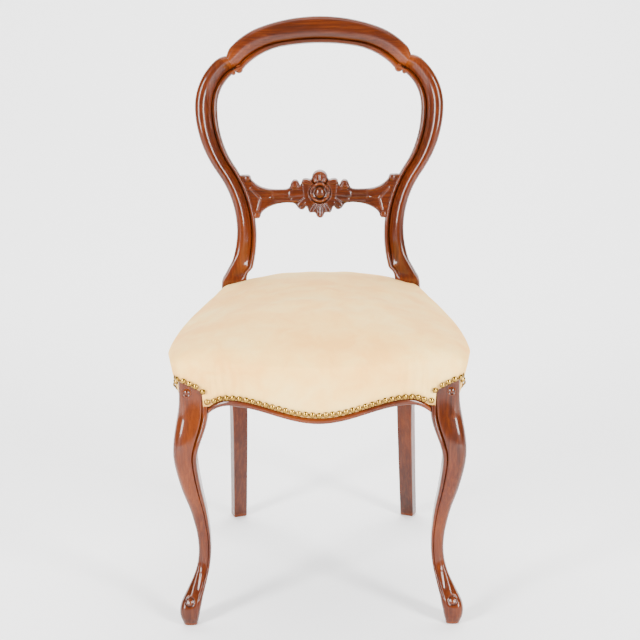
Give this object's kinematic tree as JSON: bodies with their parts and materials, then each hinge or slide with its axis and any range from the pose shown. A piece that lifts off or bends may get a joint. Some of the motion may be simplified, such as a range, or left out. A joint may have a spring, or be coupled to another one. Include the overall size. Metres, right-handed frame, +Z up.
{
  "type": "balloon back dining chair",
  "caption": "Mahogany balloon back dining chair with carved cross rail, cabriole front legs and a sprung, cream stuffed-over seat with brass nails.",
  "frame": {"origin": "on the floor under the middle of the chair's bounding box", "axes": "+Z up, -Y towards the front of the seat, X across the chair, left and right as seen from the front"},
  "size_m": [0.4636, 0.5094, 0.9002],
  "materials": {
    "mahogany": "french polished, glossy",
    "beech": "bare",
    "jute": "matt weave",
    "stuffing": "matt felt over hair",
    "seat_cloth": "cream suede-like nap",
    "dust_cloth": "black cotton",
    "antique_brass": "antiqued, polished high points",
    "steel": "drawn wire and blued tacks"
  },
  "bodies": {
    "root": {"front_leg_left": "mahogany", "front_leg_right": "mahogany", "rear_leg_left": "mahogany", "rear_leg_right": "mahogany", "crest_rail": "mahogany", "cross_rail": "mahogany", "front_rail": "mahogany", "rear_rail": "mahogany", "side_rail_left": "mahogany", "side_rail_right": "mahogany", "webbing_batten": "beech", "corner_block_front_left": "beech", "corner_block_front_right": "beech", "corner_block_rear_left": "beech", "corner_block_rear_right": "beech", "block_screws": "steel", "crest_dowels": "beech", "webbing_long_left": "jute", "webbing_long_middle": "jute", "webbing_long_right": "jute", "webbing_cross_front": "jute", "webbing_cross_middle": "jute", "webbing_cross_rear": "jute", "webbing_tacks": "steel", "spring_front_left": "steel", "spring_front_right": "steel", "spring_centre": "steel", "spring_rear_left": "steel", "spring_rear_right": "steel", "spring_lashing": "jute", "spring_hessian": "jute", "seat_stuffing": "stuffing", "seat_cover": "seat_cloth", "dust_cover": "dust_cloth", "dust_cover_tacks": "steel", "nails_front": "antique_brass", "nails_left": "antique_brass", "nails_right": "antique_brass", "nails_rear": "antique_brass"}
  },
  "joints": []
}
